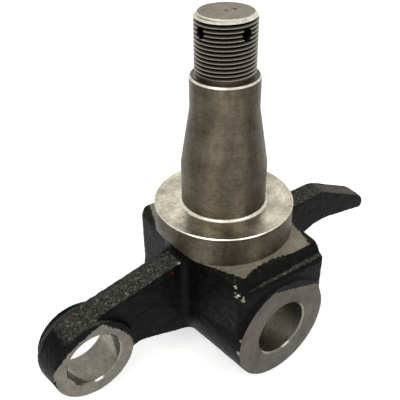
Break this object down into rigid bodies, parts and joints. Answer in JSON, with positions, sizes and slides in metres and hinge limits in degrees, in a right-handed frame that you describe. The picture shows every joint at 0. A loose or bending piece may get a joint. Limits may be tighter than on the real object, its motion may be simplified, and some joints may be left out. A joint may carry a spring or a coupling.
{
  "type": "steering knuckle",
  "caption": "Forged steering knuckle: kingpin boss with a turned wheel spindle, a steering arm ending in a bored eye and a curved stop horn.",
  "frame": {"origin": "where the wheel spindle's axis crosses the kingpin bore's axis", "axes": "+Z out along the wheel spindle, Y along the kingpin bore, -X towards the steering arm, +X towards the stop horn"},
  "size_m": [0.2329, 0.0925, 0.1928],
  "materials": {
    "forged_steel": "die-forged steel under satin black paint; turned spindle, milled boss and eye faces and all bores bare"
  },
  "bodies": {
    "root": {"steering_knuckle": "forged_steel"}
  },
  "joints": []
}
